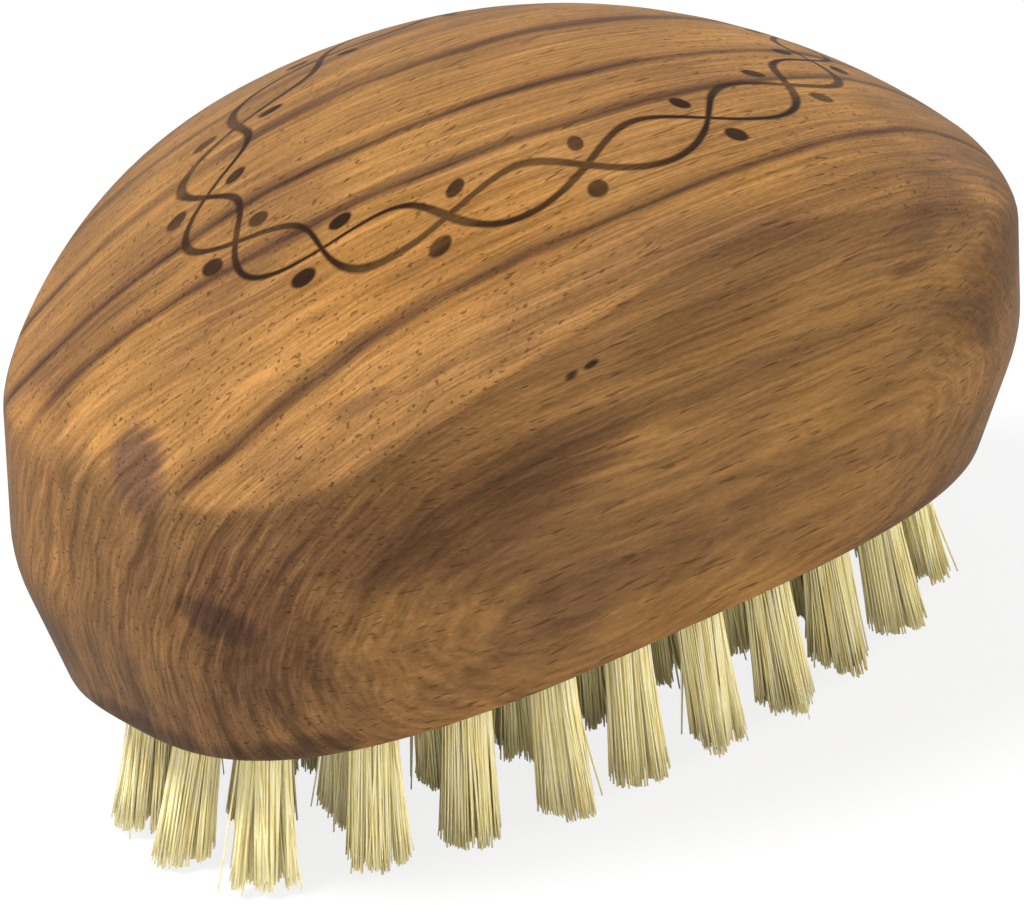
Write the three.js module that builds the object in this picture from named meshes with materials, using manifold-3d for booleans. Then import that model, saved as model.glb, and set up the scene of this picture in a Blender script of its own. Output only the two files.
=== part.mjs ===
// Palm-held hair grooming brush: a one-piece wooden block with bristle tufts set on flat anchors.
// Millimetres, +X along the block, +Z up, bristle tips standing on z = 0.
import * as THREE from 'three';
import { mergeVertices } from 'three/addons/utils/BufferGeometryUtils.js';
import Module from 'manifold-3d';

const wasm = await Module();
wasm.setup();

// Wooden block: sizes of its outlines, with heights counted from the underside
const BLOCK_LENGTH = 85;
const BLOCK_HEIGHT = 41.8;
const RIM_TAPER = 2.9;
const RIM_WIDTH = 36.4;
const RIM_CHAMFER = 0.8;
const WAIST_HEIGHT = 10.2;
const CREST_WIDTH = 50.9;
const CREST_ROUND = 1.2;

// Top of the block: how far it falls to the ends, to the sides and to the corners
const ARCH_DROP = 18.2;
const CROWN_DROP = 8;
const CORNER_DROP = 10.6;
const CORNER_POWER = 4;

// Fullness powers of the outlines
const RIM_FULLNESS = 3;
const WAIST_FULLNESS = 3.4;
const CREST_FULLNESS = 2.5;
const ROW_FULLNESS = 2.5;

// Planed flat in the middle of each long side
const SIDE_FLAT_DEPTH = 0.25;

// Bristle field: insets from the rim, four rows at even distances, and the tufts that close the ends
const BRISTLE_LENGTH = 13;
const SIDE_INSET = 4.1;
const END_INSET = 6.9;
const END_ZONE = 7.5;
const COLUMNS_EACH_WAY = 4;
const INNER_SHARE = 1 / 3;
const CORNER_INSET = 0.8;
const CORNER_SHARE = 0.454;
const LONE_INSET = 6.2;
const FAN_ALONG = 0.08;
const FAN_ACROSS = 0.08;

// Drilled holes and the folded tufts in them
const HOLE_DIAMETER = 3.8;
const HOLE_DEPTH = 10;
const HOLE_SIDES = 6;
const TUFT_CLEARANCE = 0.3;
const FOLD_THICKNESS = 0.9;

// Strands of a tuft: one in the middle and a ring round it, each three-sided
const RING_STRANDS = 8;
const ROOT_RADIUS = 0.36;
const TIP_RADIUS = 0.5;
const TIP_FLARE = 0.8;

// Slices of the underside that carry the strands
const SLICE_THICKNESS = 1.2;
const SLICE_GAP = 0.3;
const SLICE_BORDER = 1.8;

// Flat metal anchors across the folds
const ANCHOR_BITE = 0.5;
const ANCHOR_HEIGHT = 2;
const ANCHOR_THICKNESS = 0.4;
const ANCHOR_CLEARANCE = 0.2;
const ANCHOR_TURN = THREE.MathUtils.degToRad(35);

// Facets
const OUTLINE_POINTS = 72;
const TOP_RINGS = 9;
const FIELD_POINTS = 56;

// Places and fits that follow from the sizes above
const UNDERSIDE = BRISTLE_LENGTH;
const HALF_LENGTH = BLOCK_LENGTH / 2;
const HALF_CREST = CREST_WIDTH / 2;
const RIM_HALF_LENGTH = HALF_LENGTH - RIM_TAPER;
const RIM_HALF_WIDTH = RIM_WIDTH / 2;
const WALL_LEAN = Math.atan2(HALF_CREST - RIM_HALF_WIDTH, BLOCK_HEIGHT - CROWN_DROP);
const ROW_HALF_LENGTH = RIM_HALF_LENGTH - END_INSET;
const ROW_HALF_WIDTH = RIM_HALF_WIDTH - SIDE_INSET;
const CORNER_TUFT = [ROW_HALF_LENGTH - CORNER_INSET, ROW_HALF_WIDTH * CORNER_SHARE];
const COLUMN_PITCH = (ROW_HALF_LENGTH - END_ZONE) / (COLUMNS_EACH_WAY - 0.5);
const PLUG_RADIUS = HOLE_DIAMETER / 2 - TUFT_CLEARANCE;
const PLUG_TOP = HOLE_DEPTH - TUFT_CLEARANCE;
const ROOT_SPREAD = PLUG_RADIUS - ROOT_RADIUS;
const TIP_SPREAD = ROOT_SPREAD + TIP_FLARE;
const RECESS_DEPTH = SLICE_THICKNESS + SLICE_GAP;
const ANCHOR_LENGTH = HOLE_DIAMETER + 2 * ANCHOR_BITE;
const ANCHOR_DEPTH = PLUG_TOP - FOLD_THICKNESS - ANCHOR_CLEARANCE - ANCHOR_HEIGHT / 2;

function solid(geometry) {
  const bare = geometry.clone();
  bare.deleteAttribute('normal');
  bare.deleteAttribute('uv');
  const merged = mergeVertices(bare, 1e-4);
  const mesh = new wasm.Mesh({
    numProp: 3,
    vertProperties: Float32Array.from(merged.attributes.position.array),
    triVerts: Uint32Array.from(merged.index.array),
  });
  mesh.merge();
  return new wasm.Manifold(mesh);
}

function node(name, body, material) {
  const out = body.getMesh();
  const geometry = new THREE.BufferGeometry();
  geometry.setAttribute('position', new THREE.BufferAttribute(Float32Array.from(out.vertProperties), 3));
  geometry.setIndex(new THREE.BufferAttribute(Uint32Array.from(out.triVerts), 1));
  geometry.computeVertexNormals();
  const mesh = new THREE.Mesh(geometry, new THREE.MeshStandardMaterial(material));
  mesh.name = name;
  return mesh;
}

function outlinePoint(halfLength, halfWidth, fullness, angle) {
  const c = Math.cos(angle);
  const s = Math.sin(angle);
  const x = halfLength * Math.sign(c) * Math.abs(c) ** (2 / fullness);
  const y = halfWidth * Math.sign(s) * Math.abs(s) ** (2 / fullness);
  return [x, y];
}

function topHeight(x, y) {
  const along = Math.abs(x) / HALF_LENGTH;
  const across = y / HALF_CREST;
  const fall = CROWN_DROP + CORNER_DROP * along ** CORNER_POWER;
  return BLOCK_HEIGHT - ARCH_DROP * along ** 2 - fall * across ** 2;
}

// The block's outside is a loft of closed outlines from the underside to the top of the crown
function blockRings() {
  const flatLength = RIM_HALF_LENGTH - RIM_CHAMFER;
  const flatWidth = RIM_HALF_WIDTH - RIM_CHAMFER;
  const waistWidth = RIM_HALF_WIDTH + Math.tan(WALL_LEAN) * WAIST_HEIGHT;
  const rings = [[], [], [], []];
  for (let k = 0; k < TOP_RINGS; k += 1) rings.push([]);
  for (let i = 0; i < OUTLINE_POINTS; i += 1) {
    const angle = (2 * Math.PI * (i + 0.5)) / OUTLINE_POINTS;
    const [fx, fy] = outlinePoint(flatLength, flatWidth, RIM_FULLNESS, angle);
    const [rx, ry] = outlinePoint(RIM_HALF_LENGTH, RIM_HALF_WIDTH, RIM_FULLNESS, angle);
    const [wx, wy] = outlinePoint(HALF_LENGTH, waistWidth, WAIST_FULLNESS, angle);
    const [cx, cy] = outlinePoint(HALF_LENGTH, HALF_CREST, CREST_FULLNESS, angle);
    const waist = new THREE.Vector3(wx, wy, WAIST_HEIGHT);
    const crest = new THREE.Vector3(cx, cy, topHeight(cx, cy));
    const lowered = CREST_ROUND / (crest.z - WAIST_HEIGHT);
    const inward = 1 - CREST_ROUND / Math.hypot(cx, cy);
    rings[0].push(new THREE.Vector3(fx, fy, 0));
    rings[1].push(new THREE.Vector3(rx, ry, RIM_CHAMFER));
    rings[2].push(waist);
    rings[3].push(crest.lerp(waist, lowered));
    for (let k = 0; k < TOP_RINGS; k += 1) {
      const share = inward * Math.cos((Math.PI / 2) * (k / TOP_RINGS));
      rings[4 + k].push(new THREE.Vector3(cx * share, cy * share, topHeight(cx * share, cy * share)));
    }
  }
  return rings;
}

function lofted(rings, bottom, top) {
  const count = rings[0].length;
  const points = [...rings.flat(), bottom, top];
  const index = [];
  const low = rings.length * count;
  const last = (rings.length - 1) * count;
  for (let i = 0; i < count; i += 1) {
    const j = (i + 1) % count;
    index.push(low, j, i);
    for (let k = 0; k < rings.length - 1; k += 1) {
      const a = k * count;
      const b = a + count;
      index.push(a + i, a + j, b + j, a + i, b + j, b + i);
    }
    index.push(last + i, last + j, low + 1);
  }
  const geometry = new THREE.BufferGeometry().setFromPoints(points);
  geometry.setIndex(index);
  geometry.translate(0, 0, UNDERSIDE);
  return geometry;
}

function fieldShape(inset) {
  const shape = new THREE.Shape();
  const halfLength = RIM_HALF_LENGTH - inset;
  const halfWidth = RIM_HALF_WIDTH - inset;
  for (let i = 0; i < FIELD_POINTS; i += 1) {
    const angle = (2 * Math.PI * (i + 0.5)) / FIELD_POINTS;
    const [x, y] = outlinePoint(halfLength, halfWidth, RIM_FULLNESS, angle);
    if (i === 0) shape.moveTo(x, y);
    else shape.lineTo(x, y);
  }
  shape.closePath();
  return shape;
}

function slab(shape, low, height) {
  const geometry = new THREE.ExtrudeGeometry(shape, { depth: height, bevelEnabled: false });
  geometry.translate(0, 0, low);
  return solid(geometry);
}

function box(length, width, height, x, y, z) {
  const geometry = new THREE.BoxGeometry(length, width, height);
  geometry.translate(x, y, z);
  return geometry;
}

function rowPlace(column, share) {
  const x = COLUMN_PITCH * column;
  const edge = (1 - (x / ROW_HALF_LENGTH) ** ROW_FULLNESS) ** (1 / ROW_FULLNESS);
  return [x, ROW_HALF_WIDTH * edge * share];
}

// Tuft places: four staggered rows that follow the rim, and four tufts that close each end
function tuftPlaces() {
  const places = [CORNER_TUFT, [ROW_HALF_LENGTH, 0], [ROW_HALF_LENGTH - LONE_INSET, 0]];
  for (let column = 0; column < COLUMNS_EACH_WAY; column += 1) {
    places.push(rowPlace(column + 0.5, 1), rowPlace(column, INNER_SHARE));
  }
  const all = [];
  for (const [x, y] of places) {
    for (const side of y > 0 ? [-1, 1] : [1]) {
      for (const end of x > 0 ? [-1, 1] : [1]) all.push([end * x, side * y]);
    }
  }
  return all.sort((p, q) => p[1] - q[1] || p[0] - q[0]);
}

// Each tuft leans outwards from the middle of the field, and its hole leans with it
function tuftFrame([x, y]) {
  const up = new THREE.Vector3(-FAN_ALONG * x, -FAN_ACROSS * y, BRISTLE_LENGTH).normalize();
  const along = new THREE.Vector3(Math.cos(ANCHOR_TURN), Math.sin(ANCHOR_TURN), 0);
  const across = new THREE.Vector3().crossVectors(up, along).normalize();
  along.crossVectors(across, up).normalize();
  return new THREE.Matrix4().makeBasis(along, across, up).setPosition(x, y, UNDERSIDE);
}

function tuftPrism(radius, low, high, frame) {
  const geometry = new THREE.CylinderGeometry(radius, radius, high - low, HOLE_SIDES);
  geometry.rotateX(Math.PI / 2);
  geometry.translate(0, 0, (low + high) / 2);
  return solid(geometry.applyMatrix4(frame));
}

function anchorBox(clearance, frame) {
  const length = ANCHOR_LENGTH + 2 * clearance;
  const thickness = ANCHOR_THICKNESS + 2 * clearance;
  const height = ANCHOR_HEIGHT + 2 * clearance;
  return solid(box(length, thickness, height, 0, 0, ANCHOR_DEPTH).applyMatrix4(frame));
}

function triangle(x, y, z, radius, turn) {
  const corners = [];
  for (let i = 0; i < 3; i += 1) {
    const angle = turn + (2 * Math.PI * i) / 3;
    corners.push(new THREE.Vector3(x + radius * Math.cos(angle), y + radius * Math.sin(angle), z));
  }
  return corners;
}

function strand([x, y], turn, place) {
  const c = place * Math.cos(turn);
  const s = place * Math.sin(turn);
  const tipX = x * (1 + FAN_ALONG) + TIP_SPREAD * c;
  const tipY = y * (1 + FAN_ACROSS) + TIP_SPREAD * s;
  const tip = triangle(tipX, tipY, 0, TIP_RADIUS, turn);
  const inside = UNDERSIDE + SLICE_THICKNESS / 2;
  const root = triangle(x + ROOT_SPREAD * c, y + ROOT_SPREAD * s, inside, ROOT_RADIUS, turn);
  const geometry = new THREE.BufferGeometry().setFromPoints([...tip, ...root]);
  geometry.setIndex([0, 2, 1, 3, 4, 5, 0, 1, 4, 0, 4, 3, 1, 2, 5, 1, 5, 4, 2, 0, 3, 2, 3, 5]);
  return solid(geometry);
}

const places = tuftPlaces();
const frames = places.map(tuftFrame);
const part = new THREE.Group();
part.name = 'hair_grooming_brush';

// Wooden block: lofted outside, planed sides, recess for the slices, drilled holes, anchor slots
const flats = [];
for (const side of [-1, 1]) {
  const plane = box(2 * BLOCK_LENGTH, BLOCK_LENGTH, 4 * BLOCK_HEIGHT, 0, (side * BLOCK_LENGTH) / 2, 0);
  plane.rotateX(-side * WALL_LEAN);
  plane.translate(0, side * (RIM_HALF_WIDTH - SIDE_FLAT_DEPTH), UNDERSIDE);
  flats.push(solid(plane));
}
const apex = new THREE.Vector3(0, 0, BLOCK_HEIGHT);
const outside = solid(lofted(blockRings(), new THREE.Vector3(0, 0, 0), apex));
const recess = slab(fieldShape(SLICE_BORDER), UNDERSIDE - 1, RECESS_DEPTH + 1);
const holes = frames.map((frame) => tuftPrism(HOLE_DIAMETER / 2, -1, HOLE_DEPTH, frame));
const slots = frames.map((frame) => anchorBox(ANCHOR_CLEARANCE, frame));
const cuts = wasm.Manifold.union([...flats, recess, ...holes, ...slots]);
part.add(node('wooden_block', outside.subtract(cuts), { color: 0x9a6a35, roughness: 0.5, metalness: 0 }));

// Bristle rows: three slices of the underside, with the folded roots above and the strands below.
// The slices part midway between the outer rows and the tufts at the corners of the ends.
const lastOuterTuft = rowPlace(COLUMNS_EACH_WAY - 0.5, 1);
const sliceDivide = (lastOuterTuft[1] + CORNER_TUFT[1]) / 2;
const bands = [
  ['bristle_rows_left', -1],
  ['bristle_rows_middle', 0],
  ['bristle_rows_right', 1],
];
for (const [name, band] of bands) {
  const chosen = [];
  places.forEach(([, y], i) => {
    const home = Math.abs(y) > sliceDivide ? Math.sign(y) : 0;
    if (home === band) chosen.push(i);
  });
  const width = band === 0 ? 2 * sliceDivide - SLICE_GAP : BLOCK_LENGTH;
  const centre = band * (sliceDivide + SLICE_GAP / 2 + BLOCK_LENGTH / 2);
  const strip = solid(box(2 * BLOCK_LENGTH, width, BLOCK_LENGTH, 0, centre, UNDERSIDE));
  const slice = slab(fieldShape(SLICE_BORDER + SLICE_GAP), UNDERSIDE, SLICE_THICKNESS).intersect(strip);
  const roots = [];
  const windows = [];
  const strands = [];
  for (const i of chosen) {
    roots.push(tuftPrism(PLUG_RADIUS, SLICE_THICKNESS / 2, PLUG_TOP, frames[i]));
    windows.push(anchorBox(ANCHOR_CLEARANCE, frames[i]));
    strands.push(strand(places[i], 0, 0));
    for (let k = 0; k < RING_STRANDS; k += 1) {
      strands.push(strand(places[i], (2 * Math.PI * k) / RING_STRANDS, 1));
    }
  }
  const folded = wasm.Manifold.union([slice, ...roots]).subtract(wasm.Manifold.union(windows));
  const rows = wasm.Manifold.union([folded, ...strands]);
  part.add(node(name, rows, { color: 0xdcd08f, roughness: 0.7, metalness: 0 }));
}

// Anchors: one flat strip of metal across each fold, its ends biting into the wood
frames.forEach((frame, i) => {
  const name = `anchor_${String(i + 1).padStart(2, '0')}`;
  part.add(node(name, anchorBox(0, frame), { color: 0xb79a55, roughness: 0.35, metalness: 1 }));
});

export default part;
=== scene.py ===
import math
import random

import bmesh
import bpy
from mathutils import Matrix, Vector


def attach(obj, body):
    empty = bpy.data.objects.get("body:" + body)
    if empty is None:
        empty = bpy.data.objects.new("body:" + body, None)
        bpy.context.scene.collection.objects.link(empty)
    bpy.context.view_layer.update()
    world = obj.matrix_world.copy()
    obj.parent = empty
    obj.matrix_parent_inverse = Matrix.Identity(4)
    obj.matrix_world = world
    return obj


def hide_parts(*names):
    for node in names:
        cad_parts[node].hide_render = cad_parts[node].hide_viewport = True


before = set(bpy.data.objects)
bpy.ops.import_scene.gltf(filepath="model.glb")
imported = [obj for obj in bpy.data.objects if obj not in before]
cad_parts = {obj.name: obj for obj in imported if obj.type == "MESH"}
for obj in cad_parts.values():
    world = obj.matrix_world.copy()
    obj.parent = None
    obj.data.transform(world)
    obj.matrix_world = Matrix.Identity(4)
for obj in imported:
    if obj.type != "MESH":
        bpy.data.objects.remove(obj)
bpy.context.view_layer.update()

# Wooden block: one piece of oiled hardwood, sawn to an oval, arched on top and sanded by hand.
# Its long walls lean outwards to a crest, crisp along the sides and softer round the ends, and
# the underside is flat, with a lightly broken edge. All lengths are in millimetres.
MM = 0.001
UNDERSIDE = 13.0
HALF_LENGTH = 42.45
HALF_CREST = 25.45
RIM_HALF_LENGTH = 39.6
RIM_HALF_WIDTH = 18.2
RIM_FULLNESS = 3.0
RIM_ROUND = 0.9
RIM_STEPS = 4
WAIST_HEIGHT = 10.2
WAIST_FULLNESS = 3.4
WAIST_ROUND = 2.5
WAIST_STEPS = 5
BLOCK_HEIGHT = 41.75
ARCH_DROP = 18.2
CROWN_DROP = 8.0
CORNER_DROP = 10.6
SIDE_FLAT_DEPTH = 0.25
SIDE_LIMIT = 24.98
CREST_FULLNESS = 2.5
CREST_ROUND = 0.8
CREST_STEPS = 6
LEFT_END_SOFTER = 2.8
LEFT_END_SPAN = (40.3, 42.2)
NEAR_RIGHT_SOFTER = 1.4
RIGHT_SPAN = (-3, 18)
NEAR_SPAN = (0, 15)
WALL_SLOPE = (HALF_CREST - RIM_HALF_WIDTH) / (BLOCK_HEIGHT - CROWN_DROP)
WAIST_HALF_WIDTH = RIM_HALF_WIDTH + WALL_SLOPE * WAIST_HEIGHT
OUTLINE_POINTS = 160
TOP_RINGS = 18
START_RADIUS = 20.0
POLE_REACH = 0.2
SHARP_EDGE = 50


def outline_point(half_length, half_width, fullness, angle):
    c, s = math.cos(angle), math.sin(angle)
    x = math.copysign(abs(c) ** (2 / fullness), c)
    y = math.copysign(abs(s) ** (2 / fullness), s)
    return half_length * x, half_width * y


def top_height(x, y):
    along = abs(x) / HALF_LENGTH
    fall = CROWN_DROP + CORNER_DROP * along ** 4
    return BLOCK_HEIGHT - ARCH_DROP * along ** 2 - fall * (y / HALF_CREST) ** 2


def rise(value, low, high):
    t = max(0.0, min(1.0, (value - low) / (high - low)))
    return t * t * (3 - 2 * t)


def rounded(start, corner, end, steps):
    points = []
    for i in range(steps + 1):
        t = i / steps
        points.append(start * (1 - t) ** 2 + corner * 2 * t * (1 - t) + end * t ** 2)
    return points


# One upright line of the outside, from the underside over the rim, waist and crest to the crown,
# held inside a flat band along each side
def meridian(angle):
    rx, ry = outline_point(RIM_HALF_LENGTH, RIM_HALF_WIDTH, RIM_FULLNESS, angle)
    wx, wy = outline_point(HALF_LENGTH, WAIST_HALF_WIDTH, WAIST_FULLNESS, angle)
    cx, cy = outline_point(HALF_LENGTH, HALF_CREST, CREST_FULLNESS, angle)
    rim = Vector((rx, ry, 0))
    waist = Vector((wx, wy, WAIST_HEIGHT))
    crest = Vector((cx, cy, top_height(cx, cy)))
    inside = rim * (1 - RIM_ROUND / rim.length)
    points = rounded(inside, rim, rim.lerp(waist, RIM_ROUND / WAIST_HEIGHT), RIM_STEPS)
    wall = (crest - waist).length
    low = rim.lerp(waist, 1 - WAIST_ROUND / WAIST_HEIGHT)
    points += rounded(low, waist, waist.lerp(crest, WAIST_ROUND / wall), WAIST_STEPS)
    soft = CREST_ROUND + LEFT_END_SOFTER * rise(-cx, *LEFT_END_SPAN)
    soft += NEAR_RIGHT_SOFTER * rise(cx, *RIGHT_SPAN) * rise(-cy, *NEAR_SPAN)
    share = 1 - soft / math.hypot(cx, cy)
    start = crest.lerp(waist, soft / wall)
    end = Vector((cx * share, cy * share, top_height(cx * share, cy * share)))
    points += rounded(start, crest, end, CREST_STEPS)
    for k in range(1, TOP_RINGS):
        s = share * math.cos(math.pi / 2 * k / TOP_RINGS)
        points.append(Vector((cx * s, cy * s, top_height(cx * s, cy * s))))
    for p in points:
        limit = min(SIDE_LIMIT, RIM_HALF_WIDTH - SIDE_FLAT_DEPTH + WALL_SLOPE * p.z)
        p.y = max(-limit, min(limit, p.y))
        p.z += UNDERSIDE
    return [p * MM for p in points]


def heading(co):
    return math.atan2(co[1], co[0])


# The block is pulled up ring by ring from a flat disc, closed with a fan at the crown, and its
# underside is filled last
uprights = [meridian(2 * math.pi * (i + 0.5) / OUTLINE_POINTS) for i in range(OUTLINE_POINTS)]
bpy.ops.object.select_all(action="DESELECT")
bpy.ops.mesh.primitive_circle_add(vertices=OUTLINE_POINTS, radius=START_RADIUS * MM, fill_type="NGON")
block = bpy.context.object
block.name = "oiled_wood_block"
bpy.ops.object.mode_set(mode="EDIT")
for number, ring in enumerate(zip(*uprights)):
    if number:
        bpy.ops.mesh.extrude_region_move()
    edit = bmesh.from_edit_mesh(block.data)
    moved = sorted((v for v in edit.verts if v.select), key=lambda v: heading(v.co))
    for vert, place in zip(moved, sorted(ring, key=heading)):
        vert.co = place
    bmesh.update_edit_mesh(block.data)
bpy.ops.mesh.poke()
edit = bmesh.from_edit_mesh(block.data)
for vert in edit.verts:
    if math.hypot(vert.co.x, vert.co.y) < POLE_REACH * MM:
        vert.co = (0, 0, (UNDERSIDE + BLOCK_HEIGHT) * MM)
bmesh.update_edit_mesh(block.data)
bpy.ops.mesh.select_mode(type="EDGE")
bpy.ops.mesh.select_all(action="DESELECT")
bpy.ops.mesh.select_non_manifold(extend=False)
bpy.ops.mesh.edge_face_add()
bpy.ops.mesh.select_all(action="SELECT")
bpy.ops.mesh.normals_make_consistent(inside=False)
bpy.ops.object.mode_set(mode="OBJECT")

# Drilled holes: one blind hole for each tuft, leaning outwards, in four staggered rows that follow
# the rim, with four tufts more at each end. The drill leaves a clean round mouth in the underside.
HOLE_RADIUS = 1.9
HOLE_SIDES = 24
HOLE_DEPTH = 10.0
OVERCUT = 1.0
ROW_HALF_LENGTH = 32.7
ROW_HALF_WIDTH = 14.1
ROW_FULLNESS = 2.5
COLUMN_PITCH = 7.2
COLUMNS = 4
INNER_ROW_SHARE = 1 / 3
END_TUFT = (31.9, 6.4)
INNER_END_TUFT = (26.5, 0)
FAN_ALONG = 0.08
FAN_ACROSS = 0.08


def row_place(column, share):
    x = COLUMN_PITCH * column
    edge = (1 - (x / ROW_HALF_LENGTH) ** ROW_FULLNESS) ** (1 / ROW_FULLNESS)
    return x, ROW_HALF_WIDTH * edge * share


# Places in one quarter of the underside, then mirrored both ways
quarter = [END_TUFT, (ROW_HALF_LENGTH, 0), INNER_END_TUFT]
for column in range(COLUMNS):
    quarter += [row_place(column + 0.5, 1), row_place(column, INNER_ROW_SHARE)]
tuft_places = sorted({(sx * x, sy * y) for x, y in quarter for sx in (1, -1) for sy in (1, -1)})

drills = []
for x, y in tuft_places:
    lean = Vector((FAN_ALONG * x, FAN_ACROSS * y, -UNDERSIDE)).normalized()
    turn = Vector((0, 0, -1)).rotation_difference(lean).to_euler()
    middle = Vector((x, y, UNDERSIDE)) - lean * (HOLE_DEPTH - OVERCUT) / 2
    bpy.ops.object.select_all(action="DESELECT")
    bpy.ops.mesh.primitive_cylinder_add(
        vertices=HOLE_SIDES,
        radius=HOLE_RADIUS * MM,
        depth=(HOLE_DEPTH + OVERCUT) * MM,
        location=middle * MM,
        rotation=turn,
    )
    drills.append(bpy.context.object)
for drill in drills:
    drill.select_set(True)
bpy.ops.object.join()
drill = bpy.context.object
bpy.ops.object.select_all(action="DESELECT")
block.select_set(True)
bpy.context.view_layer.objects.active = block
cut = block.modifiers.new("drilled_holes", "BOOLEAN")
cut.operation = "DIFFERENCE"
cut.object = drill
bpy.ops.object.modifier_apply(modifier=cut.name)
bpy.data.objects.remove(drill)
bpy.ops.object.shade_smooth_by_angle(angle=math.radians(SHARP_EDGE))


# A colour as it is written, turned to linear light
def linear(code):
    parts = [int(code[i:i + 2], 16) / 255 for i in (1, 3, 5)]
    return tuple(p / 12.92 if p <= 0.04045 else ((p + 0.055) / 1.055) ** 2.4 for p in parts) + (1.0,)


# A node with its settings, and its inputs by name or number, each a value or a link. MapRange takes
# 1 and 2 as the range in, and 3 and 4 as the range out.
def add(tree, kind, inputs=None, **settings):
    node = tree.nodes.new("ShaderNode" + kind)
    for name, value in settings.items():
        setattr(node, name, value)
    for key, value in (inputs or {}).items():
        if isinstance(value, bpy.types.NodeSocket):
            tree.links.new(value, node.inputs[key])
        else:
            node.inputs[key].default_value = value
    return node


# Oiled hardwood: golden brown with thin purple-brown late-wood lines, fine pores and a satin oil.
# Growth layers are shells round a pith that lies beside the block, level with the underside, so the
# top and walls show long lines and the ends show curved rings.
ARC_RADIUS = 55.0
PITH = (0, -ARC_RADIUS, UNDERSIDE)
TILT_FROM = 50.0
TILT_TO = 64.0
LAYER_TILT = 0.16
LAYER_DRIFT = 3.0
LAYER_RIPPLE = 1.2
LAYERS_FROM = 28.0
LAYERS_TO = 92.0
LAYER_NOISE = {"streak": (45, 0.55, 9, 3.0), "thread": (12, 0.16, 2.5, 2.0)}

# Nearly all values of a noise lie between these two
NOISE_LOW = 0.3
NOISE_HIGH = 0.7

wood = bpy.data.materials.new("oiled_hardwood")
wood.use_nodes = True
tree = wood.node_tree
shader = tree.nodes["Principled BSDF"]
place = add(tree, "TexCoord").outputs["Object"]
mm = add(tree, "VectorMath", {0: place, 1: (1 / MM, 1 / MM, 1 / MM)}, operation="MULTIPLY").outputs[0]
split = add(tree, "SeparateXYZ", {0: mm})

# Noise that follows the straight fibres: its length along them, its width across them and its detail.
# Real pores and fibre lines are about a tenth of a millimetre wide, and are drawn coarser, to show.
FIBRE_NOISE = {
    "drift": (60, 30, 1.0),
    "ripple": (16, 7, 2.0),
    "cloud": (26, 9, 2.0),
    "breaks": (18, 5, 2.0),
    "vessel": (45, 0.5, 3.0),
    "stipple": (0.7, 0.17, 2.0),
    "pore": (3.2, 0.3, 1.0),
}
noise = {}
for name, (along, wide, detail) in FIBRE_NOISE.items():
    per_mm = (1 / along, 1 / wide, 1 / wide)
    at = add(tree, "VectorMath", {0: mm, 1: per_mm}, operation="MULTIPLY").outputs[0]
    noise[name] = add(tree, "TexNoise", {"Vector": at, "Scale": 1.0, "Detail": detail}).outputs["Fac"]

from_pith = add(tree, "VectorMath", {0: mm, 1: PITH}, operation="SUBTRACT").outputs[0]
across = add(tree, "VectorMath", {0: from_pith, 1: (0, 1, 1)}, operation="MULTIPLY").outputs[0]
radius = add(tree, "VectorMath", {0: across}, operation="LENGTH").outputs["Value"]
tilt = add(tree, "MapRange", {0: radius, 1: TILT_FROM, 2: TILT_TO, 3: 0.0, 4: LAYER_TILT}).outputs[0]
radius = add(tree, "Math", {0: split.outputs["X"], 1: tilt, 2: radius}, operation="MULTIPLY_ADD").outputs[0]
for name, swing in (("drift", LAYER_DRIFT), ("ripple", LAYER_RIPPLE)):
    radius = add(tree, "Math", {0: noise[name], 1: swing, 2: radius}, operation="MULTIPLY_ADD").outputs[0]
mean = (LAYER_DRIFT + LAYER_RIPPLE) / 2
radius = add(tree, "Math", {0: radius, 1: mean}, operation="SUBTRACT").outputs[0]
sides = add(tree, "SeparateXYZ", {0: across})
turned = add(tree, "Math", {0: sides.outputs["Z"], 1: sides.outputs["Y"]}, operation="ARCTAN2").outputs[0]
arc = add(tree, "Math", {0: turned, 1: ARC_RADIUS}, operation="MULTIPLY").outputs[0]
ring = add(tree, "CombineXYZ", {0: split.outputs["X"], 1: radius, 2: arc}).outputs[0]

# Noise that follows the growth layers: its length along the log, its thickness, its run round the
# pith and its detail
for name, (along, thick, run, detail) in LAYER_NOISE.items():
    per_mm = (1 / along, 1 / thick, 1 / run)
    at = add(tree, "VectorMath", {0: ring, 1: per_mm}, operation="MULTIPLY").outputs[0]
    noise[name] = add(tree, "TexNoise", {"Vector": at, "Scale": 1.0, "Detail": detail}).outputs["Fac"]

body = add(tree, "ValToRGB", {0: noise["cloud"]})
body.color_ramp.elements[0].position = NOISE_LOW
body.color_ramp.elements[0].color = linear("#6F4F32")
body.color_ramp.elements[1].position = NOISE_HIGH
body.color_ramp.elements[1].color = linear("#946B3C")
colour = body.outputs["Color"]

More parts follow.
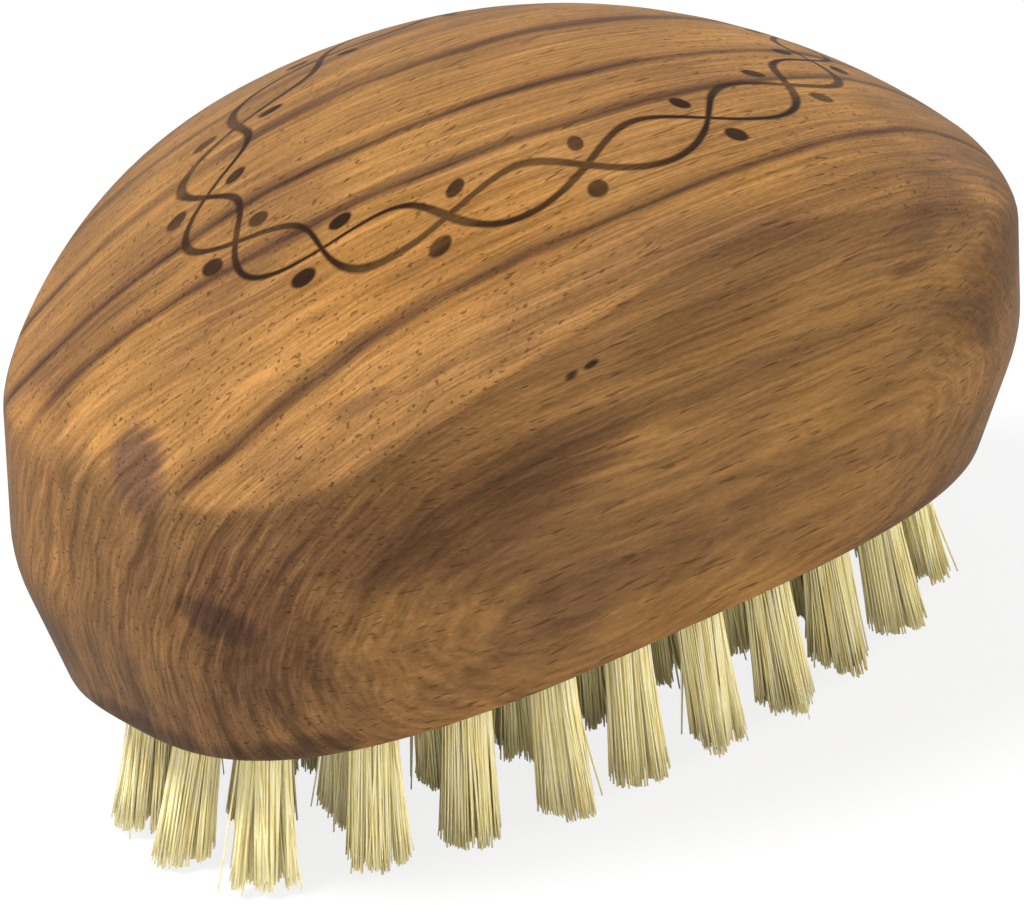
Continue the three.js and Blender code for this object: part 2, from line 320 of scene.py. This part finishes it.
# Marks in the wood: pale and dark patches, a knot, a stain, two pits and darker streaks, together
# with painted shade on the near wall below the crest, in the near-left corner and along the lower
# edge of the left end. Each is an oval with a ragged rim: its two ends, half its width, its strength
# and its colour.
RAGGED = 1.4
FADED_OUT = 2.2
FULL_INSIDE = 0.9
MARKS_AND_PAINTED_SHADE = (
    ((-38.0, -7.0, 40.0), (-22.0, -17.0, 45.0), 6.5, 0.4, "#A97A42"),
    # Painted shade on the upper near wall, just below the crest
    ((-38.0, -15.0, 31.0), (-9.0, -22.4, 35.2), 5.4, 0.7, "#4D3221"),
    ((-30.0, -8.0, 47.0), (-8.0, -18.0, 49.0), 7.0, 0.4, "#875B27"),
    # Painted shade in the near-left corner
    ((-39.4, -13.2, 33.0), (-36.0, -15.0, 17.0), 5.0, 0.6, "#513321"),
    ((20.0, -13.0, 46.5), (34.0, -15.0, 38.5), 3.5, 0.4, "#573820"),
    ((24.0, -22.0, 30.0), (40.0, -9.0, 37.0), 6.5, 0.75, "#624017"),
    ((-4.0, -20.0, 49.0), (20.0, -21.0, 44.5), 4.0, 0.2, "#A77838"),
    ((4.0, -23.0, 32.0), (28.0, -20.5, 29.0), 8.0, 0.28, "#A07439"),
    ((-12.0, -23.6, 40.0), (6.0, -24.3, 40.0), 3.2, 0.35, "#57391D"),
    ((-42.4, 3.0, 22.0), (-41.5, 9.0, 38.0), 5.5, 0.9, "#AB7A44"),
    ((-39.5, -3.4, 39.0), (-42.0, -7.9, 33.9), 2.4, 0.8, "#523B33"),
    ((-41.5, -9.8, 27.7), (-38.0, -14.8, 25.1), 1.5, 0.85, "#301D17"),
    ((-16.4, -24.0, 40.8), (-15.0, -24.0, 41.1), 0.4, 0.9, "#1C120B"),
    ((-14.6, -24.0, 41.2), (-13.2, -24.0, 41.4), 0.4, 0.9, "#1C120B"),
    ((-27.0, -21.3, 32.8), (-7.0, -22.3, 31.8), 0.8, 0.3, "#3F2818"),
    ((16.0, -23.6, 38.0), (33.0, -17.5, 38.5), 1.0, 0.6, "#442719"),
    ((-32.0, -15.8, 40.3), (-27.0, -18.2, 42.2), 0.8, 0.5, "#4B3128"),
    # Painted shade along the lower edge of the left end and the near-left corner, not wear
    ((-40.2, 4.0, 14.0), (-38.6, -8.5, 14.0), 1.8, 0.75, "#2A1A11"),
    ((-38.6, -8.5, 14.0), (-30.0, -16.6, 14.0), 1.8, 0.75, "#2A1A11"),
)
for start, end, half_width, strength, code in MARKS_AND_PAINTED_SHADE:
    start, end = Vector(start), Vector(end)
    off = add(tree, "VectorMath", {0: mm, 1: (start + end) / 2}, operation="SUBTRACT").outputs[0]
    axis = (end - start).normalized()
    run = add(tree, "VectorMath", {0: off, 1: axis}, operation="DOT_PRODUCT").outputs["Value"]
    run = add(tree, "Math", {0: run, 1: 2.0}, operation="POWER").outputs[0]
    far = add(tree, "VectorMath", {0: off, 1: off}, operation="DOT_PRODUCT").outputs["Value"]
    side = add(tree, "Math", {0: far, 1: run}, operation="SUBTRACT").outputs[0]
    side = add(tree, "Math", {0: side, 1: half_width ** -2}, operation="MULTIPLY").outputs[0]
    stretch = 4 / (end - start).length_squared
    size = add(tree, "Math", {0: run, 1: stretch, 2: side}, operation="MULTIPLY_ADD").outputs[0]
    size = add(tree, "Math", {0: noise["streak"], 1: RAGGED, 2: size}, operation="MULTIPLY_ADD").outputs[0]
    limits = {0: size, 1: FADED_OUT, 2: FULL_INSIDE, 3: 0.0, 4: strength}
    inside = add(tree, "MapRange", limits, interpolation_type="SMOOTHSTEP").outputs[0]
    colour = add(tree, "MixRGB", {"Fac": inside, "Color1": colour, "Color2": linear(code)}).outputs[0]

# Late-wood lines: thin dark edges of the growth layers, broken up along their length and fading at
# the ends, where the cut crosses the grain. Each has a distance from the pith and a depth.
LATE_LINES = {33: 0.2, 38.6: 0.5, 42: 0.15, 45.6: 0.3, 50.3: 1, 58.9: 0.9, 63.6: 1, 70.5: 0.9, 77: 0.6}
LINE_PROFILE = ((-0.4, 0.0), (0.1, 1.0), (1.2, 0.0))
LINE_LEFT_AT_ENDS = 0.3
BREAK_LOW = 0.35
BREAK_HIGH = 0.6
BREAK_LEFT = 0.75
END_GRAIN_FROM = 0.15
END_GRAIN_TO = 0.8
facing = add(tree, "SeparateXYZ", {0: add(tree, "NewGeometry").outputs["Normal"]})
endwise = add(tree, "Math", {0: facing.outputs["X"]}, operation="ABSOLUTE").outputs[0]
upright = add(tree, "Math", {0: 1.0, 1: facing.outputs["Z"]}, operation="SUBTRACT").outputs[0]
endwise = add(tree, "Math", {0: endwise, 1: upright}, operation="MULTIPLY").outputs[0]
limits = {0: endwise, 1: END_GRAIN_FROM, 2: END_GRAIN_TO}
end_grain = add(tree, "MapRange", limits, interpolation_type="SMOOTHSTEP").outputs[0]
layer = add(tree, "MapRange", {0: radius, 1: LAYERS_FROM, 2: LAYERS_TO}).outputs[0]
late = add(tree, "ValToRGB", {0: layer})
late.color_ramp.elements[0].color = (0, 0, 0, 1)
late.color_ramp.elements[1].color = (0, 0, 0, 1)
for line, depth in LATE_LINES.items():
    for offset, share in LINE_PROFILE:
        stop = late.color_ramp.elements.new((line + offset - LAYERS_FROM) / (LAYERS_TO - LAYERS_FROM))
        stop.color = (depth * share, depth * share, depth * share, 1)
limits = {0: noise["breaks"], 1: BREAK_LOW, 2: BREAK_HIGH, 3: BREAK_LEFT, 4: 1.0}
broken = add(tree, "MapRange", limits).outputs[0]
faded = add(tree, "MapRange", {0: end_grain, 3: 1.0, 4: LINE_LEFT_AT_ENDS}).outputs[0]
depth = add(tree, "Math", {0: late.outputs["Color"], 1: broken}, operation="MULTIPLY").outputs[0]
depth = add(tree, "Math", {0: depth, 1: faded}, operation="MULTIPLY").outputs[0]
colour = add(tree, "MixRGB", {"Fac": depth, "Color1": colour, "Color2": linear("#321F1C")}).outputs[0]

# Fine layers between the lines: faint along the grain and strong at the ends, where the cut fibres
# soak up more oil and look darker, and on the left end greyer too. Long pores mark the walls instead,
# and the walls are darkened further as painted shade.
GREY_SPAN = 20.0
LEFT_END_GREY = 0.28
STREAK_TOP = 1.3
STREAK_END = 1.7
WALL_FROM = 0.5
WALL_SHARE = 0.8
WALL_CALMER = 0.7
THREAD_SWING = 0.26
SPECK_SWING = 0.14
END_DARKER = 0.78
PAINTED_SHADE_FROM = 0.4
PAINTED_SHADE_TO = 0.9
WALL_PAINTED_SHADE = 0.71
PORE_FROM = 0.63
PORE_FULL = 0.72
PORE_DEPTH = 0.6
limits = {0: split.outputs["X"], 1: -GREY_SPAN, 2: GREY_SPAN, 3: LEFT_END_GREY, 4: 0.0}
greyed = add(tree, "MapRange", limits).outputs[0]
greyed = add(tree, "Math", {0: greyed, 1: end_grain}, operation="MULTIPLY").outputs[0]
colour = add(tree, "MixRGB", {"Fac": greyed, "Color1": colour, "Color2": linear("#80614F")}).outputs[0]
strength = add(tree, "MapRange", {0: end_grain, 3: STREAK_TOP, 4: STREAK_END}).outputs[0]
along_wall = add(tree, "Math", {0: 1.0, 1: end_grain}, operation="SUBTRACT").outputs[0]
wall = add(tree, "MapRange", {0: upright, 1: WALL_FROM, 2: 1.0, 3: 0.0, 4: WALL_SHARE}).outputs[0]
wall = add(tree, "Math", {0: wall, 1: along_wall}, operation="MULTIPLY").outputs[0]
strength = add(tree, "Math", {0: wall, 1: -WALL_CALMER, 2: strength}, operation="MULTIPLY_ADD").outputs[0]
grain = add(tree, "Mix", {0: wall, 2: noise["streak"], 3: noise["vessel"]}).outputs[0]
tone = add(tree, "Math", {0: grain, 1: 0.5}, operation="SUBTRACT").outputs[0]
tone = add(tree, "Math", {0: tone, 1: strength, 2: 1.0}, operation="MULTIPLY_ADD").outputs[0]
for name, swing in (("thread", THREAD_SWING), ("stipple", SPECK_SWING)):
    limits = {0: noise[name], 1: NOISE_LOW, 2: NOISE_HIGH, 3: 1 - swing, 4: 1 + swing}
    factor = add(tree, "MapRange", limits).outputs[0]
    tone = add(tree, "Math", {0: tone, 1: factor}, operation="MULTIPLY").outputs[0]
darker = add(tree, "MapRange", {0: end_grain, 3: 1.0, 4: END_DARKER}).outputs[0]
# Painted shade: surfaces that face sideways, the walls, are darkened
limits = {0: upright, 1: PAINTED_SHADE_FROM, 2: PAINTED_SHADE_TO, 3: 1.0, 4: WALL_PAINTED_SHADE}
side = add(tree, "MapRange", limits, interpolation_type="SMOOTHSTEP").outputs[0]
for factor in (darker, side):
    tone = add(tree, "Math", {0: tone, 1: factor}, operation="MULTIPLY").outputs[0]
colour = add(tree, "VectorMath", {0: colour, "Scale": tone}, operation="SCALE").outputs[0]
limits = {0: noise["pore"], 1: PORE_FROM, 2: PORE_FULL, 3: 0.0, 4: PORE_DEPTH}
pores = add(tree, "MapRange", limits, interpolation_type="SMOOTHSTEP").outputs[0]
colour = add(tree, "MixRGB", {"Fac": pores, "Color1": colour, "Color2": linear("#321F10")}).outputs[0]

# Burnt border on the crown: two waving lines that cross round an oval, with a dot on each side of
# every crossing, drawn with a hot wire about half a millimetre wide
BORDER_HALF_LENGTH = 26.5
BORDER_HALF_WIDTH = 15.5
BORDER_WAVES = 7
BORDER_SWING = 2.2
LINE_WIDTH = 0.6
DOT_RADIUS = 0.75
SOFT_EDGE = 0.1
CROWN_FROM = 35.0
shrink = (1 / BORDER_HALF_LENGTH, 1 / BORDER_HALF_WIDTH, 0)
oval = add(tree, "VectorMath", {0: mm, 1: shrink}, operation="MULTIPLY").outputs[0]
slope = add(tree, "VectorMath", {0: oval, 1: shrink}, operation="MULTIPLY").outputs[0]
slope = add(tree, "VectorMath", {0: slope}, operation="LENGTH").outputs["Value"]
away = add(tree, "VectorMath", {0: oval}, operation="LENGTH").outputs["Value"]
reach = add(tree, "Math", {0: away, 1: slope}, operation="DIVIDE").outputs[0]
apart = add(tree, "Math", {0: away, 1: 1.0}, operation="SUBTRACT").outputs[0]
apart = add(tree, "Math", {0: apart, 1: reach}, operation="MULTIPLY").outputs[0]
gap = add(tree, "Math", {0: apart}, operation="ABSOLUTE").outputs[0]
spokes = add(tree, "SeparateXYZ", {0: oval})
angle = add(tree, "Math", {0: spokes.outputs["Y"], 1: spokes.outputs["X"]}, operation="ARCTAN2").outputs[0]
angle = add(tree, "Math", {0: angle, 1: BORDER_WAVES}, operation="MULTIPLY").outputs[0]
wave = add(tree, "Math", {0: angle}, operation="SINE").outputs[0]
wave = add(tree, "Math", {0: wave}, operation="ABSOLUTE").outputs[0]
wave = add(tree, "Math", {0: wave, 1: -BORDER_SWING, 2: gap}, operation="MULTIPLY_ADD").outputs[0]
wave = add(tree, "Math", {0: wave}, operation="ABSOLUTE").outputs[0]
limits = {0: noise["breaks"], 1: NOISE_LOW, 2: NOISE_HIGH, 3: -SOFT_EDGE, 4: SOFT_EDGE}
uneven = add(tree, "MapRange", limits).outputs[0]
wave = add(tree, "Math", {0: wave, 1: uneven}, operation="ADD").outputs[0]
limits = {0: wave, 1: LINE_WIDTH / 2 + SOFT_EDGE, 2: LINE_WIDTH / 2 - SOFT_EDGE}
lines = add(tree, "MapRange", limits).outputs[0]
along = add(tree, "Math", {0: angle}, operation="SINE").outputs[0]
along = add(tree, "Math", {0: along, 1: reach}, operation="DIVIDE").outputs[0]
step = BORDER_HALF_LENGTH * BORDER_HALF_WIDTH / BORDER_WAVES
along = add(tree, "Math", {0: along, 1: step}, operation="MULTIPLY").outputs[0]
beside = add(tree, "Math", {0: gap, 1: BORDER_SWING}, operation="SUBTRACT").outputs[0]
dot = add(tree, "CombineXYZ", {0: along, 1: beside}).outputs[0]
dot = add(tree, "VectorMath", {0: dot}, operation="LENGTH").outputs["Value"]
dots = add(tree, "MapRange", {0: dot, 1: DOT_RADIUS + SOFT_EDGE, 2: DOT_RADIUS - SOFT_EDGE}).outputs[0]
burnt = add(tree, "Math", {0: lines, 1: dots}, operation="MAXIMUM").outputs[0]
crown = add(tree, "Math", {0: split.outputs["Z"], 1: CROWN_FROM}, operation="GREATER_THAN").outputs[0]
burnt = add(tree, "Math", {0: burnt, 1: crown}, operation="MULTIPLY").outputs[0]
charred = add(tree, "Math", {0: burnt, 1: broken}, operation="MULTIPLY").outputs[0]
colour = add(tree, "MixRGB", {"Fac": charred, "Color1": colour, "Color2": linear("#22140D")}).outputs[0]
tree.links.new(colour, shader.inputs["Base Color"])

# Satin oil: a weak, warm sheen over open pores and the pressed-in burnt lines
SATIN_LOW = 0.5
SATIN_HIGH = 0.62
PORE_SINK = 1.0
BURNT_SINK = 1.5
RELIEF = 0.1
RELIEF_STRENGTH = 0.4
limits = {0: noise["streak"], 1: NOISE_LOW, 2: NOISE_HIGH, 3: SATIN_LOW, 4: SATIN_HIGH}
rough = add(tree, "MapRange", limits).outputs[0]
tree.links.new(rough, shader.inputs["Roughness"])
shader.inputs["IOR"].default_value = 1.46
shader.inputs["Specular IOR Level"].default_value = 0.09
shader.inputs["Specular Tint"].default_value = linear("#D9B27A")
height = noise["stipple"]
for mask, sink in ((pores, PORE_SINK), (burnt, BURNT_SINK)):
    height = add(tree, "Math", {0: mask, 1: -sink, 2: height}, operation="MULTIPLY_ADD").outputs[0]
relief = add(tree, "Bump", {"Height": height, "Strength": RELIEF_STRENGTH, "Distance": RELIEF * MM})
tree.links.new(relief.outputs["Normal"], shader.inputs["Normal"])
block.data.materials.clear()
block.data.materials.append(wood)
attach(block, "root")
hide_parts("wooden_block")

# Bristle tufts: bundles of stiff plant fibre, folded in half and pulled into the drilled holes.
# The fibres gather in locks, stand close at the mouth, spread towards the trimmed ends and vary in
# tone from straw to cream.
FIBRE_RADIUS = 0.11
FIBRE_SIDES = 3
FIBRE_BENDS = (0.25, 0.6)
FIBRE_THICKNESS = (0.75, 1.2)
FIBRE_SCATTER = 0.16
FIBRE_CURVE = 1.4
TIP_THINNER = 0.35
TURN_SCATTER = 0.25
STRAY_SHARE = 0.05
STRAY_TIMES = 4
FIBRES_PER_TUFT = 410
LOCKS_PER_TUFT = 10
LOCK_SPREAD = (1.15, 1.6)
LOCK_SCATTER = 0.3
GATHERED = (0.4, 1.1)
TUFT_KINDS = 8
TUFT_SEED = 11
KIND_STEP = 3
SEATED = 2.0
MOUTH_RADIUS = 1.7
TRIM_SLACK = 0.65
SWAY_ALONG = 0.35
SWAY_ACROSS = -0.25
SWAY_SCATTER = 0.4
INNER_ROWS_TO = 8.4
ROUND_FIBRE = 130
GOLDEN_TURN = math.pi * (3 - math.sqrt(5))

# Dried plant fibre: nearly matt and a little translucent, so the tufts look soft and pale. Its tone
# changes from strand to strand and slowly along each one.
STRAND_WIDTH = 1 / 2.4
STRAND_LENGTH = 20.0
STRAW_AT = 0.44
straw = bpy.data.materials.new("straw_plant_fibre")
straw.use_nodes = True
tree = straw.node_tree
shader = tree.nodes["Principled BSDF"]
place = add(tree, "TexCoord").outputs["Object"]
per_metre = tuple(1 / (size * MM) for size in (STRAND_WIDTH, STRAND_WIDTH, STRAND_LENGTH))
strand_at = add(tree, "VectorMath", {0: place, 1: per_metre}, operation="MULTIPLY").outputs[0]
tones = add(tree, "TexNoise", {"Vector": strand_at, "Scale": 1.0, "Detail": 2.0}).outputs["Fac"]
shades = add(tree, "ValToRGB", {0: tones})
shades.color_ramp.elements[0].position = NOISE_LOW
shades.color_ramp.elements[0].color = linear("#DAC683")
shades.color_ramp.elements[1].position = NOISE_HIGH
shades.color_ramp.elements[1].color = linear("#E9DEB6")
shades.color_ramp.elements.new(STRAW_AT).color = linear("#E7D99A")
tree.links.new(shades.outputs["Color"], shader.inputs["Base Color"])
shader.inputs["Roughness"].default_value = 0.65
shader.inputs["IOR"].default_value = 1.5
shader.inputs["Specular IOR Level"].default_value = 0.12
shader.inputs["Subsurface Weight"].default_value = 0.15
shader.inputs["Subsurface Radius"].default_value = (1, 0.9, 0.6)
shader.inputs["Subsurface Scale"].default_value = 0.4 * MM

# One straight fibre, cut where it will bend
bpy.ops.object.select_all(action="DESELECT")
bpy.ops.mesh.primitive_cylinder_add(
    vertices=FIBRE_SIDES,
    radius=FIBRE_RADIUS * MM,
    depth=UNDERSIDE * MM,
    location=(0, 0, UNDERSIDE / 2 * MM),
)
fibre = bpy.context.object
bpy.ops.object.transform_apply(location=True, rotation=True, scale=True)
bpy.ops.object.mode_set(mode="EDIT")
for bend in FIBRE_BENDS:
    bpy.ops.mesh.select_all(action="SELECT")
    bpy.ops.mesh.bisect(plane_co=(0, 0, UNDERSIDE * bend * MM), plane_no=(0, 0, 1))
bpy.ops.object.mode_set(mode="OBJECT")
fibre.data.materials.append(straw)

# A few kinds of tuft, each with its own locks, fibres and uneven trim
chance = random.Random(TUFT_SEED)
tufts = []
for kind in range(TUFT_KINDS):
    locks = []
    for number in range(LOCKS_PER_TUFT):
        out = MOUTH_RADIUS * math.sqrt((number + 0.5) / LOCKS_PER_TUFT)
        middle = Vector((math.cos(number * GOLDEN_TURN), math.sin(number * GOLDEN_TURN))) * out
        tip = middle * chance.uniform(*LOCK_SPREAD)
        tip += Vector((chance.gauss(0, LOCK_SCATTER), chance.gauss(0, LOCK_SCATTER)))
        locks.append((middle, tip, chance.uniform(0, 1)))
    bpy.ops.object.select_all(action="DESELECT")
    for number in range(FIBRES_PER_TUFT):
        out = MOUTH_RADIUS * math.sqrt((number + 0.5) / FIBRES_PER_TUFT)
        angle = number * GOLDEN_TURN + chance.uniform(-TURN_SCATTER, TURN_SCATTER)
        root = Vector((math.cos(angle), math.sin(angle))) * out
        middle, tip, short = min(locks, key=lambda lock: (lock[0] - root).length)
        gather = chance.uniform(*GATHERED)
        stray = Vector((chance.gauss(0, FIBRE_SCATTER), chance.gauss(0, FIBRE_SCATTER)))
        if chance.random() < STRAY_SHARE:
            stray *= STRAY_TIMES
        end = tip + (root - middle) * gather + stray
        trim = TRIM_SLACK * (short + abs(chance.gauss(0, 1)) + (out / MOUTH_RADIUS) ** 3)
        thick = chance.uniform(*FIBRE_THICKNESS)
        strand = fibre.copy()
        strand.data = fibre.data.copy()
        bpy.context.collection.objects.link(strand)
        strand.select_set(True)
        for vert in strand.data.vertices:
            down = max(0.0, 1 - vert.co.z / (UNDERSIDE * MM))
            at = root.lerp(end, down ** FIBRE_CURVE) * MM
            taper = thick * (1 - TIP_THINNER * down ** 3)
            z = UNDERSIDE + SEATED - down * (UNDERSIDE + SEATED - trim)
            vert.co = (vert.co.x * taper + at.x, vert.co.y * taper + at.y, z * MM)
    bpy.context.view_layer.objects.active = strand
    bpy.ops.object.join()
    tufts.append(bpy.context.object)
bpy.data.objects.remove(fibre)

# Every hole gets its own copy, turned, fanned outwards and swayed a little, and goes to its row
rows = {"bristle_rows_left": [], "bristle_rows_middle": [], "bristle_rows_right": []}
for number, (x, y) in enumerate(tuft_places):
    tuft = tufts[number * KIND_STEP % TUFT_KINDS].copy()
    tuft.data = tuft.data.copy()
    bpy.context.collection.objects.link(tuft)
    turn = Matrix.Rotation(chance.uniform(0, 2 * math.pi), 3, "Z")
    sway_x = chance.gauss(SWAY_ALONG, SWAY_SCATTER)
    sway_y = chance.gauss(SWAY_ACROSS, SWAY_SCATTER)
    sway = Vector((sway_x, sway_y, 0)) * MM
    for vert in tuft.data.vertices:
        down = 1 - vert.co.z / (UNDERSIDE * MM)
        base = Vector((x * (1 + FAN_ALONG * down), y * (1 + FAN_ACROSS * down), 0)) * MM
        vert.co = turn @ vert.co + base + sway * max(0.0, down)
    side = "middle" if abs(y) < INNER_ROWS_TO else "left" if y < 0 else "right"
    rows["bristle_rows_" + side].append(tuft)
for tuft in tufts:
    bpy.data.objects.remove(tuft)
for node, group in rows.items():
    bpy.ops.object.select_all(action="DESELECT")
    for tuft in group:
        tuft.select_set(True)
    bpy.context.view_layer.objects.active = group[0]
    bpy.ops.object.join()
    fibres = bpy.context.object
    fibres.name = node.replace("bristle", "fibre")
    bpy.ops.object.shade_smooth_by_angle(angle=math.radians(ROUND_FIBRE))
    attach(fibres, "root")
    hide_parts(node)

# Anchors: short strips of flat brass wire, punched through the fold of each tuft into the wood.
# Drawn and cut brass is dull and lightly scratched along its length. Its scratches are drawn about
# a tenth of a millimetre wide, coarser than real ones, so that they show.
SCRATCH_LENGTH = 2.5
SCRATCH_WIDTH = 1 / 9
SCRATCH_ROUGHNESS = (0.28, 0.45)
brass = bpy.data.materials.new("drawn_brass_wire")
brass.use_nodes = True
tree = brass.node_tree
shader = tree.nodes["Principled BSDF"]
place = add(tree, "TexCoord").outputs["Object"]
per_metre = tuple(1 / (size * MM) for size in (SCRATCH_LENGTH, SCRATCH_LENGTH, SCRATCH_WIDTH))
scratch_at = add(tree, "VectorMath", {0: place, 1: per_metre}, operation="MULTIPLY").outputs[0]
scratch = add(tree, "TexNoise", {"Vector": scratch_at, "Scale": 1.0, "Detail": 3.0}).outputs["Fac"]
shades = add(tree, "ValToRGB", {0: scratch})
shades.color_ramp.elements[0].color = linear("#9C7F42")
shades.color_ramp.elements[1].color = linear("#CDB06A")
tree.links.new(shades.outputs["Color"], shader.inputs["Base Color"])
smooth, worn = SCRATCH_ROUGHNESS
rough = add(tree, "MapRange", {0: scratch, 3: smooth, 4: worn}).outputs[0]
tree.links.new(rough, shader.inputs["Roughness"])
shader.inputs["Metallic"].default_value = 1.0
for name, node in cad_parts.items():
    if name.startswith("anchor_"):
        node.data.materials.clear()
        node.data.materials.append(brass)

# Studio: white paper under the bristle tips and a white surround, a soft key lamp up on the left, a
# broad lamp low on the right and a weak one low in front, for the tufts. Floor and lamps are in
# metres. The camera stands where the photograph was taken from.
FLOOR_SIZE = 6.0
PAPER_LIT = 0.84
SURROUND_LIGHT = 0.4
SURROUND_SEEN = 1.0
MIRRORED = ("Is Glossy Ray", "Is Transmission Ray")
bpy.ops.object.select_all(action="DESELECT")
bpy.ops.mesh.primitive_plane_add(size=FLOOR_SIZE, location=(0, 0, 0))
floor = bpy.context.object
floor.name = "studio_floor"

# White paper: matt, and lit up where it is seen, so that only the brush's shadow darkens it
paper = bpy.data.materials.new("white_paper_floor")
paper.use_nodes = True
tree = paper.node_tree
shader = tree.nodes["Principled BSDF"]
shader.inputs["Base Color"].default_value = linear("#E8E8E6")
shader.inputs["Roughness"].default_value = 0.9
path = add(tree, "LightPath").outputs
seen = path["Is Camera Ray"]
for ray in MIRRORED:
    seen = add(tree, "Math", {0: seen, 1: path[ray]}, operation="MAXIMUM").outputs[0]
white = add(tree, "Emission", {"Color": (1, 1, 1, 1), "Strength": 1.0})
share = add(tree, "Math", {0: seen, 1: PAPER_LIT}, operation="MULTIPLY").outputs[0]
blend = add(tree, "MixShader", {0: share, 1: shader.outputs[0], 2: white.outputs[0]})
tree.links.new(blend.outputs[0], tree.nodes["Material Output"].inputs["Surface"])
floor.data.materials.append(paper)

world = bpy.data.worlds.new("white_studio")
bpy.context.scene.world = world
world.use_nodes = True
tree = world.node_tree
path = add(tree, "LightPath").outputs
seen = path["Is Camera Ray"]
for ray in MIRRORED:
    seen = add(tree, "Math", {0: seen, 1: path[ray]}, operation="MAXIMUM").outputs[0]
level = add(tree, "MapRange", {0: seen, 3: SURROUND_LIGHT, 4: SURROUND_SEEN}).outputs[0]
tree.nodes["Background"].inputs["Color"].default_value = (1, 1, 1, 1)
tree.links.new(level, tree.nodes["Background"].inputs["Strength"])


def lamp(name, place, target, size, power):
    data = bpy.data.lights.new(name, "AREA")
    data.shape = "DISK"
    data.size = size
    data.energy = power
    thing = bpy.data.objects.new(name, data)
    bpy.context.collection.objects.link(thing)
    thing.location = place
    thing.rotation_euler = (Vector(target) - Vector(place)).to_track_quat("-Z", "Y").to_euler()


lamp("key_lamp", place=(-0.48, 0.1, 0.81), target=(0, 0, 0.03), size=0.3, power=11.7)
lamp("fill_lamp", place=(0.68, -0.62, 0.08), target=(0, 0, 0.02), size=0.9, power=10.1)
lamp("front_lamp", place=(-0.52, -0.66, 0.07), target=(0, 0, 0.01), size=0.3, power=3.2)

SENSOR_WIDTH = 36
FOCAL_LENGTH = 210.24
CAMERA_PLACE = (-261.016, -317.615, 206.618 + UNDERSIDE)
eye = bpy.data.cameras.new("photo_camera")
eye.sensor_width = SENSOR_WIDTH
eye.lens = FOCAL_LENGTH
camera = bpy.data.objects.new("photo_camera", eye)
bpy.context.collection.objects.link(camera)
right = Vector((0.75808, -0.65014, -0.05133))
above = Vector((0.31804, 0.29983, 0.89942))
behind = Vector((-0.56936, -0.69816, 0.43407))
pose = Matrix((right, above, behind)).transposed().to_4x4()
pose.translation = Vector(CAMERA_PLACE) * MM
camera.matrix_world = pose
bpy.context.scene.camera = camera
bpy.context.scene.view_settings.view_transform = "Standard"
